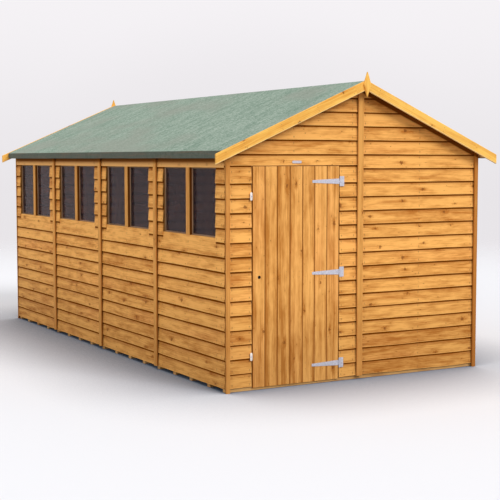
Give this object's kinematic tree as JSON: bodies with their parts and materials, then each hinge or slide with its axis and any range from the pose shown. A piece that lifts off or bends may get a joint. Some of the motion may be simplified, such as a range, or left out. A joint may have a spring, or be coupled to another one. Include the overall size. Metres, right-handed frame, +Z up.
{
  "type": "wooden garden shed",
  "caption": "Apex-roofed garden shed of lapped boards with a felted roof, a row of windows in one long side and a hinged boarded door in the gable.",
  "frame": {"origin": "on the ground at the centre of the floor", "axes": "+Z up, +Y along the ridge from the door gable to the rear gable, -X out of the long wall with windows"},
  "size_m": [2.65, 5.03, 2.426],
  "materials": {
    "cladding": "golden dip-treated softwood boards, matt",
    "framing": "planed softwood, matt",
    "cover_strip": "golden treated softwood strip, matt",
    "bargeboard": "bright golden planed softwood, satin",
    "roof_board": "pressed board",
    "roof_felt": "green mineral felt, rough",
    "floor": "rough sawn softwood",
    "door_boards": "vertical tongued boards, matt",
    "glazing": "clear sheet",
    "galvanised_steel": "galvanised",
    "black_metal": "black"
  },
  "bodies": {
    "root": {"bare_plate": "galvanised_steel", "bargeboard_front_left": "bargeboard", "bargeboard_front_right": "bargeboard", "bargeboard_rear_left": "bargeboard", "bargeboard_rear_right": "bargeboard", "eaves_battens": "framing", "finial_front": "bargeboard", "finial_rear": "bargeboard", "floor_bearers": "floor", "floor_deck": "floor", "front_wall_left_of_door": "cladding", "front_wall_over_door": "cladding", "front_wall_right_of_door": "cladding", "front_wall_right_panel": "cladding", "gable_rails": "framing", "gable_strips": "cover_strip", "gable_studs": "framing", "hinge_plates": "galvanised_steel", "plain_wall_cladding": "cladding", "rear_wall_left_panel": "cladding", "rear_wall_right_panel": "cladding", "roof_felt_folds": "roof_felt", "roof_felt_left": "roof_felt", "roof_felt_right": "roof_felt", "roof_purlins": "framing", "roof_sheet_left": "roof_board", "roof_sheet_right": "roof_board", "side_wall_rails": "framing", "side_wall_strips": "cover_strip", "side_wall_studs": "framing", "truss_rafters_left": "framing", "truss_rafters_right": "framing", "truss_ties": "framing", "turn_button_screws": "galvanised_steel", "window_mullions": "framing", "window_panes": "glazing", "window_wall_cladding": "cladding", "window_wall_piers": "cladding"},
    "door": {"door_leaf": "door_boards", "door_ledges": "door_boards", "door_braces": "door_boards", "hinge_straps": "galvanised_steel", "key_escutcheon": "black_metal"},
    "turn_button_upper": {"turn_button_upper": "galvanised_steel"},
    "turn_button_lower": {"turn_button_lower": "galvanised_steel"}
  },
  "joints": [
    {"name": "door_hinge", "type": "hinge", "parent": "root", "child": "door", "pos_m": [-0.18, -2.4055, 0.87], "axis": [0, 0, 1], "range_deg": [0, 160]},
    {"name": "upper_button_pivot", "type": "hinge", "parent": "root", "child": "turn_button_upper", "pos_m": [-0.98, -2.408, 1.473], "axis": [0, 1, 0], "range_deg": [0, 90]},
    {"name": "lower_button_pivot", "type": "hinge", "parent": "root", "child": "turn_button_lower", "pos_m": [-0.98, -2.408, 0.262], "axis": [0, 1, 0], "range_deg": [0, 90]}
  ]
}
